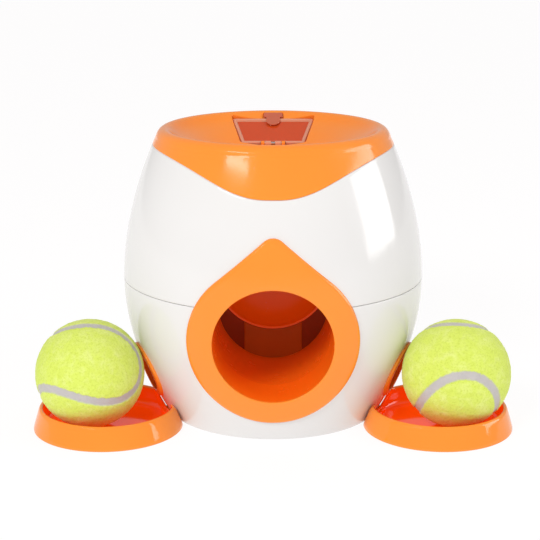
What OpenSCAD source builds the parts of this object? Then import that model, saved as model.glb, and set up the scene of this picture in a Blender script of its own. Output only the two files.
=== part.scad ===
// Ball-and-treat dispenser for dogs: a round-bellied casing with a front ball hole,
// two side treat outlets over dish trays, a rocking cradle inside and a treat hopper.
// Origin: centre of the standing face. +Z up, the front hole faces -Y.

/* [Casing] */
// Largest radius of the casing, at the belt
r_belt = 91.3; // [91.1:0.1:91.5]
// Wall thickness of the casings
wall = 2.4; // [2.2:0.1:2.6]
// Height of the belt seam between the casings
seam_z = 85.3; // [85:0.1:85.6]
// Width of the visible seam groove
seam_gap = 0.3; // [0.2:0.1:0.5]

/* [Openings] */
// Radius of the front ball hole
inlet_r = 34.7; // [34.5:0.1:34.8]
// Radius of the treat outlets in the sides
outlet_r = 13; // [12.6:0.1:13]
// Height of the treat outlets' centre
outlet_z = 31.5; // [31.3:0.1:31.7]
// How far the trims stand proud of the casing
trim_proud = 1.8; // [1.4:0.1:2]

/* [Trays and balls] */
// Outer radius of a tray at the floor
tray_r = 44.8; // [44:0.1:45]
// Height of a tray's rim
tray_h = 13.9; // [12:0.1:13.9]
// Diameter of a ball
ball_d = 65; // [63:0.5:65]

/* [Mechanism] */
// Half swing of the cradle, in degrees (for reference)
cradle_swing = 35; // [30:1:35]
// Height of the cradle's pivot
pivot_z = 56; // [56:0.1:56.2]
// Radius of the cradle's shaft
cradle_shaft_r = 3; // [2.8:0.1:3.2]
// Running clearance of the shafts in their bushes
run_fit = 0.06; // [0.04:0.01:0.08]
// Teeth on the cradle gear
cradle_teeth = 35; // [35]
// Teeth on the drum gear
drum_teeth = 14; // [14]

/* [Hidden] */
$fn = 96;
z_belt = 84;
hole_z = 63.5;
outlet_a = -19.4;
tray_c = [99.2, -40.2];
tray_u = atan2(-40.2, 99.2);
ball_c = [109.0, -44.7];
tray_floor = 2.2;
drum_z = 88;
gear_m = 2*(drum_z - pivot_z)/(cradle_teeth + drum_teeth);
drum_shaft_r = 2.5;
plate_f = [36, 39];
plate_r = [57, 60];
track_y = [-46, 24];
door_o = [0, 36, 158.6];
door_a = 29.3;
collar_t = 2;
cup_r = 35;
cup_z = 80.2;
screw_r = 1.45;
head_r = 2.6;
casing_screw_pts = [for (a = [45, 135, 225, 315]) [58.5*cos(a), 58.5*sin(a)]];
track_screw_pts = [[34, -20], [-34, -20], [34, 18], [-34, 18]];
foot_screw_pts = [[12, 40.5], [-12, 40.5], [17.6, 54.8], [-17.6, 54.8]];
seam_angles = [55, 125, -52, -128];
cap_angles = [30, 150, 210, 330];
cap_boss_r = 57.8;

ORANGE = [0.99, 0.55, 0.16];
WHITE = [0.95, 0.94, 0.93];

// ---- profiles ----

// outer radius of the casing at height z
function rz(z) = z > z_belt ? r_belt - 0.004747*pow(z - z_belt, 1.88)
                            : r_belt - 0.005742*pow(z_belt - z, 1.902);
// heights of the profile's rings between a and b
function zs(a, b) = concat([a], [for (z = [0:7:175]) if (z > a + 0.6 && z < b - 0.6) z], [b]);
function rev(l) = [for (i = [len(l) - 1:-1:0]) l[i]];
// top surface of the dish, [radius, height]
dish = [[0, 150], [12, 150.8], [25, 153.5], [36, 158.6], [50, 166.5], [58.6, 171.3], [62, 174.2]];
lip = [[63.6, 175.2], [65.3, 175.6], [66.8, 175.3], [68.4, 174.3], [69.9, 172.2]];
// border between the white casing and the orange cap, seen from the front
b0 = [0, 147.1]; b1 = [26, 145]; b2 = [39.5, 162.3]; b3 = [68, 166];
function bez(t) = b0*pow(1 - t, 3) + 3*b1*t*pow(1 - t, 2) + 3*b2*t*t*(1 - t) + b3*pow(t, 3);
border = concat([[-95, 166.4]], [for (i = [14:-1:1]) [-bez(i/14)[0], bez(i/14)[1]]],
                [for (i = [0:14]) bez(i/14)], [[95, 166.4]]);

// solid of the casing's outer form, grown by off
module body_solid(off, z0, z1) {
    rotate_extrude() polygon(concat([[0, z0]], [for (z = zs(z0, z1)) [rz(z) + off, z]], [[0, z1]]));
}
// layer of the casing between two offsets
module layer(o0, o1, z0, z1) {
    rotate_extrude() polygon(concat([for (z = zs(z0, z1)) [rz(z) + o1, z]],
                                    rev([for (z = zs(z0, z1)) [rz(z) + o0, z]])));
}
// everything above the dish, shifted by d
module above_dish(d) {
    rotate_extrude() polygon(concat([for (p = dish) [p[0], p[1] + d]],
        [[65.3, 175.6 + d], [100, 175.6 + d], [100, 220], [0, 220]]));
}
// region above (s = 1) or below (s = -1) the border, shifted by d
module border_side(s, d) {
    translate([0, 120, 0]) rotate([90, 0, 0]) linear_extrude(height = 240)
        polygon(concat([for (p = border) [p[0], p[1] + d]],
                       [[95, s > 0 ? 220 : 100], [-95, s > 0 ? 220 : 100]]));
}
// a prism along Y through the outline given in x and z
module along_y(y0, y1) { translate([0, y1, 0]) rotate([90, 0, 0]) linear_extrude(height = y1 - y0) children(); }
// a cylinder along Y
module cyl_y(r, y0, y1, x, z) { translate([x, y1, z]) rotate([90, 0, 0]) cylinder(r = r, h = y1 - y0); }
// a cylinder along X
module cyl_x(r, x0, x1, y, z) { translate([x0, y, z]) rotate([0, 90, 0]) cylinder(r = r, h = x1 - x0); }

// teardrop outline: a circle with straight tangents to a rounded tip
function tear(r, zc, rt, zt) = let (a = asin((r - rt)/(zt - zc)))
    concat([for (i = [0:36]) let (t = 180 - a + (180 + 2*a)*i/36) [r*cos(t), zc + r*sin(t)]],
           [for (i = [0:8]) let (t = a + (180 - 2*a)*i/8) [rt*cos(t), zt + rt*sin(t)]]);
// a cylinder through the outlet on the +X side, square to the casing's axis
module outlet_cyl(r, x0, x1) {
    rotate([0, 0, outlet_a]) translate([x0, 0, outlet_z]) rotate([0, 90, 0]) cylinder(r = r, h = x1 - x0);
}

// a screw boss on the inside of the casing wall, joined to it by a rib
module wall_boss(a, r, z0, z1, rb) {
    intersection() {
        rotate([0, 0, a]) union() {
            translate([r, 0, z0]) cylinder(r = rb, h = z1 - z0);
            translate([r, -1.6, z0]) cube([30, 3.2, z1 - z0]);
        }
        body_solid(-1, z0 - 1, z1 + 1);
    }
}
// a screw: head below, shank up
module screw(x, y, z, l) {
    translate([x, y, z]) cylinder(r = head_r, h = 1.2);
    translate([x, y, z + 1]) cylinder(r = screw_r, h = l);
}

// ---- involute spur gears ----
function inv(rb, r) = r <= rb ? 0 : sqrt(pow(r/rb, 2) - 1)*180/PI - acos(rb/r);
function gear_pts(n, m, first, slack) = let (rp = n*m/2, rb = rp*cos(20), rr = rp - 1.3*m, ra = rp + 0.9*m,
        ha = 90/n*(1 - slack), rads = [rr, max(rr + 0.1, rb + 0.05), rp - 0.35*m, rp, rp + 0.45*m, ra])
    [for (i = [0:n - 1]) for (k = [0:11])
        let (j = k < 6 ? k : 11 - k, s = k < 6 ? -1 : 1,
             r = rads[j], h = ha + inv(rb, rp) - inv(rb, r), t = first + 360*i/n + s*h)
        [r*cos(t), r*sin(t)]];
module gear(n, first, z, bore, y0, y1, hub) {
    difference() {
        union() {
            translate([0, y1, z]) rotate([90, 0, 0]) linear_extrude(height = y1 - y0)
                polygon(gear_pts(n, gear_m, first, 0.1));
            cyl_y(hub, y0 - 1.2, y0 + 0.1, 0, z);
        }
        cyl_y(bore, y0 - 2, y1 + 1, 0, z);
    }
}

// ---- casing ----
module tray_slot(s) {
    rotate([0, 0, s > 0 ? tray_u : 180 - tray_u]) translate([60, -10.5, 2.1]) cube([16, 21, 2.6]);
}
module lower_shell() color(WHITE) {
    difference() {
        union() {
            layer(-wall, 0, 0.6, seam_z - seam_gap/2);
            for (a = seam_angles) wall_boss(a, 81, 73, seam_z, 4.5);
            for (a = [45, 135, 225, 315]) wall_boss(a, 58.5, 4, 14.5, 4);
        }
        cyl_y(inlet_r + collar_t + 0.1, -100, -20, 0, hole_z);
        outlet_cyl(outlet_r, 40, 100);
        mirror([1, 0, 0]) outlet_cyl(outlet_r, 40, 100);
        tray_slot(1);
        tray_slot(-1);
        for (a = seam_angles) rotate([0, 0, a]) translate([81, 0, 70]) cylinder(r = 1.7, h = 20);
        for (p = casing_screw_pts) translate([p[0], p[1], 3]) cylinder(r = screw_r, h = 9.5);
    }
}
module upper_shell() color(WHITE) {
    difference() {
        union() {
            layer(-wall, 0, seam_z + seam_gap/2, 168);
            for (a = seam_angles) wall_boss(a, 81, seam_z, 96, 4.5);
        }
        border_side(1, -seam_gap);
        cyl_y(inlet_r + collar_t + 0.1, -100, -20, 0, hole_z);
        for (a = seam_angles) rotate([0, 0, a]) translate([81, 0, 80]) cylinder(r = screw_r, h = 14);
    }
    difference() {
        intersection() {
            for (a = cap_angles) rotate([0, 0, a]) translate([52, -6, 138]) cube([32, 12, 3]);
            body_solid(-1, 130, 145);
        }
        for (a = cap_angles) rotate([0, 0, a]) translate([cap_boss_r, 0, 130]) cylinder(r = 1.7, h = 20);
    }
}
module base_plate() color([0.9, 0.89, 0.88]) {
    difference() {
        translate([0, 0, 1.5]) cylinder(r = 63.3, h = 2.5);
        difference() {
            translate([0, 0, 1]) cylinder(r = 54.5, h = 1.3);
            translate([0, 0, 0.5]) cylinder(r = 45.5, h = 2);
        }
        for (p = concat(casing_screw_pts, track_screw_pts, foot_screw_pts)) {
            translate([p[0], p[1], 1]) cylinder(r = head_r + 0.2, h = 1.7);
            translate([p[0], p[1], 1]) cylinder(r = 1.7, h = 5);
        }
    }
}
module anti_slip_ring() color([0.2, 0.2, 0.2]) {
    difference() {
        cylinder(r = 54.5, h = 2.3);
        translate([0, 0, -1]) cylinder(r = 45.5, h = 5);
    }
}
module base_screws() color([0.7, 0.7, 0.72]) {
    for (p = casing_screw_pts) screw(p[0], p[1], 1.5, 9);
    for (p = track_screw_pts) screw(p[0], p[1], 1.5, 10);
    for (p = foot_screw_pts) screw(p[0], p[1], 1.5, 4.4);
}
module seam_screws() color([0.7, 0.7, 0.72]) {
    for (a = seam_angles) screw(81*cos(a), 81*sin(a), 71.8, 20);
}
module cap_screws() color([0.7, 0.7, 0.72]) {
    for (a = cap_angles) screw(cap_boss_r*cos(a), cap_boss_r*sin(a), 136.8, 12);
}

// ---- top cap with the door's pocket ----
function door_hw(v) = 19.5 + (26 - 19.5)*v/25;
// the door's trapezoid grown by d on its sides, from v0 to v1 up the slope
module door_prism(d, v0, v1, w0, w1) {
    translate(door_o) rotate([door_a, 0, 0]) translate([0, 0, w0]) linear_extrude(height = w1 - w0)
        polygon([[-door_hw(v0) - d, v0], [door_hw(v0) + d, v0], [door_hw(v1) + d, v1], [-door_hw(v1) - d, v1]]);
}
// the pocket that the door lies in, with room for its corners as it swings
module door_pocket() {
    translate(door_o) rotate([door_a, 0, 0]) translate([0, 0, -1.1]) linear_extrude(height = 15.1)
        polygon([[-20.3, -0.6], [20.3, -0.6], [26.5, 25.4], [-26.5, 25.4]]);
}
module door_box(x0, x1, v0, v1, w0, w1) {
    translate(door_o) rotate([door_a, 0, 0]) translate([x0, v0, w0]) cube([x1 - x0, v1 - v0, w1 - w0]);
}
module hinge_cyl(r, x0, x1) {
    translate(door_o) rotate([door_a, 0, 0]) cyl_x(r, x0, x1, 0, 0.9);
}
module top_cap() color(ORANGE) {
    difference() {
        union() {
            difference() {
                rotate_extrude() polygon(concat(
                    [for (z = zs(144, 170)) [rz(z), z]], rev(lip), rev(dish),
                    [for (p = dish) if (p[0] < 60) [p[0], p[1] - wall]],
                    [[62.5, 171.3], [66, 171.0]], rev([for (z = zs(144, 168)) [rz(z) - wall, z]])));
                border_side(-1, 0);
            }
            difference() {
                for (a = cap_angles) rotate([0, 0, a]) translate([cap_boss_r, 0, 141]) cylinder(r = 4, h = 32);
                above_dish(-1);
            }
            difference() {
                door_prism(2.2, -2.6, 28, -3.2, 6);
                above_dish(0);
            }
            for (s = [-1, 1]) intersection() {
                union() {
                    hinge_cyl(1.5, s > 0 ? 5.3 : -7.5, s > 0 ? 7.5 : -5.3);
                    door_box(s > 0 ? 5.3 : -7.5, s > 0 ? 7.5 : -5.3, -1.5, -0.61, -2.5, 0.9);
                }
                translate([-10, 20, 150]) cube([20, 30, 20]);
            }
        }
        for (a = cap_angles) rotate([0, 0, a]) translate([cap_boss_r, 0, 140]) cylinder(r = screw_r, h = 14);
        difference() {
            door_pocket();
            for (s = [-1, 1]) union() {
                hinge_cyl(1.5, s > 0 ? 5.3 : -7.5, s > 0 ? 7.5 : -5.3);
                door_box(s > 0 ? 5.3 : -7.5, s > 0 ? 7.5 : -5.3, -1.5, 0.6, -2.5, 0.9);
            }
        }
        door_prism(-2.2, 3, 23, -12, 0);
        door_box(-5.2, 5.2, -2.1, 0, -1.1, 4);
        door_box(-6.4, 6.4, 25, 31, -0.3, 8);
        hinge_cyl(0.75, -7.6, 7.6);
    }
}
module hopper_door() color([0.95, 0.55, 0.4, 0.55]) {
    difference() {
        union() {
            door_prism(0, 0.4, 25, -0.8, 0.8);
            for (x = [-5, 1.2]) {
                hinge_cyl(1.5, x, x + 3.8);
                door_box(x, x + 3.8, 0, 2, -0.6, 0.8);
            }
        }
        for (x = [-7.8, 5.05]) door_box(x, x + 2.75, -1, 1.9, -2, 3);
        door_box(-1.15, 1.15, -1, 1.9, -2, 3);
        hinge_cyl(0.82, -8, 8);
    }
}
module door_latch() color([0.93, 0.5, 0.35, 0.7]) {
    door_box(-4.5, 4.5, 18.5, 26.2, 0.8, 1.8);
    door_box(-6, 6, 26, 30, 0.2, 1.8);
}
module door_hinge_pin() color([0.75, 0.75, 0.77]) { hinge_cyl(0.75, -7.5, 7.5); }
module hopper_bin() color(ORANGE) {
    difference() {
        union() {
            hull() {
                translate([0, 0, 148]) linear_extrude(height = 2) polygon([[-21, 37.2], [21, 37.2], [26, 58.2], [-26, 58.2]]);
                translate([-12.5, 39, 108]) cube([25, 18, 1]);
            }
            difference() {
                translate([0, 0, 149]) linear_extrude(height = 28) polygon([[-21, 37.2], [21, 37.2], [26, 58.2], [-26, 58.2]]);
                above_dish(-2.5);
                door_prism(6, -6, 36, -3.3, 30);
            }
            translate([-16, 36, 106]) cube([32, 24, 2.2]);
        }
        hull() {
            translate([0, 0, 148.5]) linear_extrude(height = 2) polygon([[-19.4, 38.8], [19.4, 38.8], [24.4, 56.6], [-24.4, 56.6]]);
            translate([-10, 40.6, 107]) cube([20, 14.8, 1]);
        }
        translate([0, 0, 149]) linear_extrude(height = 30) polygon([[-19.4, 38.8], [19.4, 38.8], [24.4, 56.6], [-24.4, 56.6]]);
        translate([-10, 40.6, 105]) cube([20, 14.8, 4]);
    }
}

// ---- trims and ball path ----
module front_trim() color(ORANGE) {
    difference() {
        intersection() {
            layer(0, trim_proud, 10, 135);
            along_y(-110, -10) polygon(tear(49.8, hole_z, 8, 118.8));
        }
        cyl_y(inlet_r, -120, 0, 0, hole_z);
    }
}
module inlet_collar() color(ORANGE) {
    difference() {
        intersection() {
            cyl_y(inlet_r + collar_t, -100, -46.5, 0, hole_z);
            body_solid(0, 20, 110);
        }
        cyl_y(inlet_r, -110, -40, 0, hole_z);
    }
}
module side_trim() color(ORANGE) {
    difference() {
        intersection() {
            layer(0, trim_proud, 8, 56);
            outlet_cyl(outlet_r + 4, 40, 110);
        }
        outlet_cyl(outlet_r, 30, 120);
    }
}
module side_trim_right() { side_trim(); }
module side_trim_left() { mirror([1, 0, 0]) side_trim(); }
module treat_floor() color(ORANGE) {
    difference() {
        union() {
            intersection() {
                along_y(track_y[0], track_y[1])
                    polygon([[-85, 19.2], [0, 20.3], [85, 19.2], [85, 17.2], [0, 18.3], [-85, 17.2]]);
                body_solid(-wall - 0.1, 10, 30);
            }
            for (p = track_screw_pts) translate([p[0], p[1], 4]) cylinder(r = 4, h = 14.2);
        }
        for (p = track_screw_pts) translate([p[0], p[1], 3]) cylinder(r = screw_r, h = 10.5);
    }
}

// ---- frame of the mechanism ----
module bearing_plate(y0, y1, f0, f1) {
    difference() {
        union() {
            translate([-20, y0, 4]) cube([40, y1 - y0, 102]);
            translate([-20, f0, 4]) cube([40, f1 - f0, 3]);
        }
        cyl_y(5.5, y0 - 1, y1 + 1, 0, pivot_z);
        cyl_y(5, y0 - 1, y1 + 1, 0, drum_z);
        for (p = foot_screw_pts) translate([p[0], p[1], 3]) cylinder(r = screw_r, h = 5);
    }
}
module front_bearing_plate() color([0.85, 0.85, 0.86]) { bearing_plate(plate_f[0], plate_f[1], 38, 44); }
module rear_bearing_plate() color([0.85, 0.85, 0.86]) { bearing_plate(plate_r[0], plate_r[1], 51, 58); }
module bearing_bushes() color([0.75, 0.6, 0.3]) {
    for (p = [plate_f, plate_r]) {
        difference() {
            cyl_y(5.5, p[0], p[1], 0, pivot_z);
            cyl_y(cradle_shaft_r + run_fit, p[0] - 1, p[1] + 1, 0, pivot_z);
        }
        difference() {
            cyl_y(5, p[0], p[1], 0, drum_z);
            cyl_y(drum_shaft_r + run_fit, p[0] - 1, p[1] + 1, 0, drum_z);
        }
    }
}
module drum_housing() color([0.85, 0.85, 0.86]) {
    difference() {
        cyl_y(18, plate_f[1], plate_r[0], 0, drum_z);
        cyl_y(15.4, plate_f[1] - 1, plate_r[0] + 1, 0, drum_z);
        translate([-10, 40.6, drum_z + 5]) cube([20, 14.8, 20]);
        translate([-20, 40.6, drum_z - 20]) cube([40, 14.8, 25]);
    }
}
module treat_slide() color(ORANGE) {
    for (s = [-1, 1]) {
        hull() {
            translate([s > 0 ? 0 : -1, plate_f[1], 66]) cube([1, 17.9, 2]);
            translate([s > 0 ? 33 : -34, plate_f[1], 47]) cube([1, 18, 2]);
        }
        hull() {
            translate([s > 0 ? 33 : -34, plate_f[1], 47]) cube([1, 18, 2]);
            translate([s > 0 ? 63 : -64, -32, 22.5]) cube([1, 20, 2]);
        }
        hull() {
            translate([s > 0 ? 33 : -34, 55.8, 47]) cube([1, 1.2, 7]);
            translate([s > 0 ? 63 : -64, -13.2, 22.5]) cube([1, 1.2, 7]);
        }
    }
}

// ---- rocking cradle ----
module tilted(dz) { translate([0, 20, 59 + dz]) rotate([87.045, 0, 0]) children(); }
module ball_cradle() color(ORANGE) {
    difference() {
        union() {
            intersection() {
                difference() {
                    tilted(0) translate([0, 0, -10]) cylinder(r = 37, h = 90);
                    tilted(0) translate([0, 0, -12]) cylinder(r = 35, h = 95);
                    tilted(0) translate([-50, 12, -15]) cube([100, 80, 100]);
                }
                translate([-50, -45.5, 0]) cube([100, 66.5, 100]);
            }
            difference() {
                cyl_y(34.3, 20, 30.2, 0, pivot_z);
                cyl_y(36, 19, 30, 0, cup_z);
            }
            intersection() {
                cyl_y(cup_r + 1.7, 18.2, 30.2, 0, cup_z);
                cyl_y(41.5, 15, 35, 0, pivot_z);
            }
            cyl_y(8, 30, 35.4, 0, pivot_z);
        }
        translate([0, 0, cup_z]) rotate([-90, 0, 0]) rotate_extrude()
            polygon([[0, 10], [0, 28.4], [8, 28.25], [16, 27.6], [23, 26.4], [28.5, 24.6], [32.5, 22.3], [34.5, 20.2], [35, 18.6], [35, 10]]);
        cyl_y(cradle_shaft_r, 29.4, 36, 0, pivot_z);
    }
}
module ball_bumper() color([0.3, 0.12, 0.05]) {
    difference() {
        union() {
            cyl_y(34.6, 18.5, 20, 0, 59.06);
            intersection() {
                cyl_y(34.6, 17.8, 20, 0, 59.06);
                translate([-18.3, 17, 20]) cube([36.6, 4, 60]);
            }
        }
        cyl_y(cup_r + 1.75, 10, 25, 0, cup_z);
    }
}
module cradle_shaft() color([0.75, 0.75, 0.77]) { cyl_y(cradle_shaft_r, 29.4, 70, 0, pivot_z); }
module cradle_gear() color([0.9, 0.9, 0.86]) { gear(cradle_teeth, 90, pivot_z, cradle_shaft_r, 62, 68, 7); }
module clip(r, z) {
    difference() {
        cyl_y(r + 2.2, 68.2, 69.2, 0, z);
        cyl_y(r, 67, 70.5, 0, z);
        translate([-r*0.7, 67, z]) cube([r*1.4, 4, 10]);
    }
}
module cradle_clip() color([0.4, 0.4, 0.42]) { clip(cradle_shaft_r, pivot_z); }

// ---- treat drum ----
module treat_drum() color(ORANGE) {
    difference() {
        cyl_y(15, 39.8, 56.2, 0, drum_z);
        translate([-8, 42, drum_z + 5]) cube([16, 12, 20]);
        cyl_y(drum_shaft_r, 38, 58, 0, drum_z);
    }
}
module drum_shaft() color([0.75, 0.75, 0.77]) { cyl_y(drum_shaft_r, 35.6, 70, 0, drum_z); }
module drum_gear() color([0.9, 0.9, 0.86]) { gear(drum_teeth, 270 + 180/drum_teeth, drum_z, drum_shaft_r, 62, 68, 5); }
module drum_clip() color([0.4, 0.4, 0.42]) { clip(drum_shaft_r, drum_z); }

// ---- trays and balls ----
module tray() color(ORANGE) {
    union() {
        difference() {
            translate([tray_c[0], tray_c[1], 0]) rotate_extrude() polygon([[0, 0], [tray_r, 0],
                [tray_r - 0.2, 1.4], [tray_r - 3.4, tray_h - 1.5], [tray_r - 4, tray_h - 0.4], [tray_r - 4.9, tray_h],
                [tray_r - 5.9, tray_h - 0.5], [tray_r - 6.2, tray_h - 1.6], [tray_r - 6.2, 5],
                [tray_r - 7.4, 3], [tray_r - 9.6, tray_floor], [0, tray_floor]]);
            body_solid(0.4, -1, 20);
        }
        intersection() {
            layer(0.4, 2.0, 0, 5);
            translate([tray_c[0], tray_c[1], -1]) cylinder(r = tray_r - 4, h = 20);
            translate([20, -100, -1]) cube([100, 130, 20]);
        }
        rotate([0, 0, tray_u]) translate([63.8, -10, 2.4]) cube([6, 20, 2]);
    }
}
module tray_right() { tray(); }
module tray_left() { mirror([1, 0, 0]) tray(); }
module ball_felt(s) color([0.85, 0.93, 0.3]) {
    translate([s*ball_c[0], ball_c[1], tray_floor + ball_d/2]) difference() {
        sphere(r = ball_d/2);
        sphere(r = ball_d/2 - 2.6);
    }
}
module ball_core(s) color([0.35, 0.35, 0.36]) {
    translate([s*ball_c[0], ball_c[1], tray_floor + ball_d/2]) difference() {
        sphere(r = ball_d/2 - 2.6);
        sphere(r = ball_d/2 - 5.9);
    }
}
module ball_left() { ball_felt(-1); }
module ball_right() { ball_felt(1); }
module ball_left_core() { ball_core(-1); }
module ball_right_core() { ball_core(1); }

lower_shell();
upper_shell();
base_plate();
anti_slip_ring();
base_screws();
seam_screws();
cap_screws();
top_cap();
hopper_bin();
front_trim();
inlet_collar();
side_trim_left();
side_trim_right();
treat_floor();
front_bearing_plate();
rear_bearing_plate();
bearing_bushes();
drum_housing();
treat_slide();
ball_cradle();
ball_bumper();
cradle_shaft();
cradle_gear();
cradle_clip();
treat_drum();
drum_shaft();
drum_gear();
drum_clip();
hopper_door();
door_latch();
door_hinge_pin();
tray_left();
tray_right();
ball_left();
ball_left_core();
ball_right();
ball_right_core();
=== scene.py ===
import bpy
import bmesh
import math
import numpy as np
from mathutils import Matrix, Vector, noise


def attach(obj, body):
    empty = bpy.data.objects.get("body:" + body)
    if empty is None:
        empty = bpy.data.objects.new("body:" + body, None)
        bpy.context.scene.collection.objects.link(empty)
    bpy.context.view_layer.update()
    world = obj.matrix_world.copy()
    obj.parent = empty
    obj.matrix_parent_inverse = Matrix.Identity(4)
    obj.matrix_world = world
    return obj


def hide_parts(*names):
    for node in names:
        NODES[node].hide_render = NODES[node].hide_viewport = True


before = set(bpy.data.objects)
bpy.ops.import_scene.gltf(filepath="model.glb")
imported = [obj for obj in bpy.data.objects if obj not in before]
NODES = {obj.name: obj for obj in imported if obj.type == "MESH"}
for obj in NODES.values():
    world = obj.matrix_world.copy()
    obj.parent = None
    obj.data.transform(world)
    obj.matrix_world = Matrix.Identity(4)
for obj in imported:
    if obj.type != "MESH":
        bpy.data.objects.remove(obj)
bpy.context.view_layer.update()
MM = 0.001
TAU = 2*math.pi

# ---------------------------------------------------------------- profiles, in mm


def R(z):
    """Outer radius of the casing at height z."""
    z = np.asarray(z, float)
    return 91.3 - np.where(z > 84, 0.004747*np.clip(z - 84, 0, None)**1.88, 0.005742*np.clip(84 - z, 0, None)**1.902)


def spline(points, n, start=None, end=None):
    """n points on a smooth curve through the given ones, by chord length."""
    p = np.array(points, float)
    t = np.r_[0, np.cumsum(np.linalg.norm(np.diff(p, axis=0), axis=1)**0.75)]
    h = np.diff(t)
    m = len(p)
    A = np.zeros((m, m))
    B = np.zeros((m, p.shape[1]))
    for i in range(1, m - 1):
        A[i, i - 1], A[i, i], A[i, i + 1] = h[i - 1], 2*(h[i - 1] + h[i]), h[i]
        B[i] = 6*((p[i + 1] - p[i])/h[i] - (p[i] - p[i - 1])/h[i - 1])
    A[0, 0] = A[-1, -1] = 1
    M = np.linalg.solve(A, B)
    u = np.linspace(t[0] if start is None else t[start], t[-1] if end is None else t[end], n)
    k = np.clip(np.searchsorted(t, u, side="right") - 1, 0, m - 2)
    a, b, hh = (t[k + 1] - u)[:, None], (u - t[k])[:, None], h[k][:, None]
    return (M[k]*a**3 + M[k + 1]*b**3)/(6*hh) + (p[k]/hh - M[k]*hh/6)*a + (p[k + 1]/hh - M[k + 1]*hh/6)*b


def smooth(t):
    t = np.clip(t, 0, 1)
    return t*t*(3 - 2*t)


# border between the white casing and the orange cap: |x| -> height
_t = np.linspace(0, 1, 400)[:, None]
_b = (1 - _t)**3*np.array([0, 147.1]) + 3*_t*(1 - _t)**2*np.array([26, 145.0]) + 3*_t**2*(1 - _t)*np.array([39.5, 162.3]) + _t**3*np.array([68, 166.0])
_bx = np.r_[_b[:, 0], np.linspace(69, 95, 30)]
_bz = np.r_[_b[:, 1], 166.0 + 0.4*(np.linspace(69, 95, 30) - 68)/27]
_gx = np.arange(0, 95.01, 0.5)
_gz = np.interp(_gx, _bx, _bz)
_k = np.exp(-0.5*(np.arange(-16, 17)/7.0)**2)
_pad = np.r_[_gz[16:0:-1], _gz, np.full(16, _gz[-1])]
_gz = np.convolve(_pad, _k/_k.sum(), mode="valid")


def border_z(phi):
    c = np.abs(np.cos(phi))
    z = np.full_like(c, 158.0)
    for _ in range(60):
        z = 0.5*z + 0.5*np.interp(R(z)*c, _gx, _gz)
    return z


DISH = [(-12, 150.8), (0, 150), (12, 150.8), (25, 153.5), (36, 158.6), (50, 166.5), (58.6, 171.3), (62, 174.2),
        (63.6, 175.2), (65.3, 175.6), (66.8, 175.3), (68.4, 174.3), (69.9, 172.2), (float(R(170)), 170), (float(R(166)), 166)]
_dish = spline(DISH, 900, start=1, end=13)
_crest = int(_dish[:, 1].argmax())


def dish_z(r):
    """Height of the dish, its rim and the top of the wall at radius r."""
    return np.interp(r, _dish[:, 0], _dish[:, 1])


# ---------------------------------------------------------------- mesh helpers

def new_object(name, verts, faces):
    me = bpy.data.meshes.new(name)
    v = np.asarray(verts, float).reshape(-1, 3)*MM
    me.from_pydata(v.tolist(), [], faces if isinstance(faces, list) else faces.tolist())
    me.update()
    ob = bpy.data.objects.new(name, me)
    bpy.context.scene.collection.objects.link(ob)
    return ob


def tidy(ob, angle=32, merge=0.002, outward=True):
    """Merges doubles, turns faces outward, shades smooth with sharp edges above the angle."""
    bm = bmesh.new()
    bm.from_mesh(ob.data)
    if merge:
        bmesh.ops.remove_doubles(bm, verts=bm.verts, dist=merge*MM)
        bmesh.ops.dissolve_degenerate(bm, edges=bm.edges, dist=merge*MM*0.5)
    if outward:
        bmesh.ops.recalc_face_normals(bm, faces=bm.faces)
    for f in bm.faces:
        f.smooth = True
    bm.to_mesh(ob.data)
    bm.free()
    ob.data.set_sharp_from_angle(angle=math.radians(angle))
    return ob


def skin(name, rings, ends="fan", angle=32):
    """A closed surface through rings of points: ends is wrap (last ring joins the first) or fan (a centre point closes each end)."""
    P = np.asarray(rings, float)
    k, n = P.shape[:2]
    idx = np.arange(k*n).reshape(k, n)
    A, B = (idx, np.roll(idx, -1, 0)) if ends == "wrap" else (idx[:-1], idx[1:])
    faces = np.stack([A, np.roll(A, -1, 1), np.roll(B, -1, 1), B], -1).reshape(-1, 4).tolist()
    v = P.reshape(-1, 3)
    if ends == "fan":
        for row, flip in ((0, True), (k - 1, False)):
            c = len(v)
            v = np.vstack([v, P[row].mean(0)])
            a, b = idx[row], np.roll(idx[row], -1)
            faces += [[int(y), int(x), c] if flip else [int(x), int(y), c] for x, y in zip(a, b)]
    return tidy(new_object(name, v, faces), angle)


def lathe(name, loop, n=256, centre=(0, 0), ends="fan", axis="z", angle=32):
    """A surface of revolution of (radius, height) points; axis y turns it so that height runs along Y about (x, z) = centre."""
    loop = np.asarray(loop, float)
    a = np.linspace(0, TAU, n, endpoint=False)
    r, h = loop[:, 0][:, None], loop[:, 1][:, None]
    one = np.ones_like(a)[None]
    if axis == "z":
        P = np.stack([centre[0] + r*np.cos(a), centre[1] + r*np.sin(a), h*one], -1)
    else:
        P = np.stack([centre[0] + r*np.cos(a), h*one, centre[1] + r*np.sin(a)], -1)
    return skin(name, P, ends, angle)


def prism(name, outline, lo, hi, to3d):
    """A prism over a closed 2-D outline between two depths; to3d(p, depth) gives its points."""
    o = np.asarray(outline, float)
    return skin(name, [to3d(o, lo), to3d(o, hi)], "fan")


def boolean(a, b, op="DIFFERENCE", keep=False):
    m = a.modifiers.new("cut", "BOOLEAN")
    m.object, m.operation, m.solver = b, op, "EXACT"
    bpy.context.view_layer.update()
    me = bpy.data.meshes.new_from_object(a.evaluated_get(bpy.context.evaluated_depsgraph_get()))
    old = a.data
    a.modifiers.clear()
    a.data = me
    bpy.data.meshes.remove(old)
    if not keep:
        drop(b)
    return a


def drop(ob):
    me = ob.data
    bpy.data.objects.remove(ob)
    bpy.data.meshes.remove(me)


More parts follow.
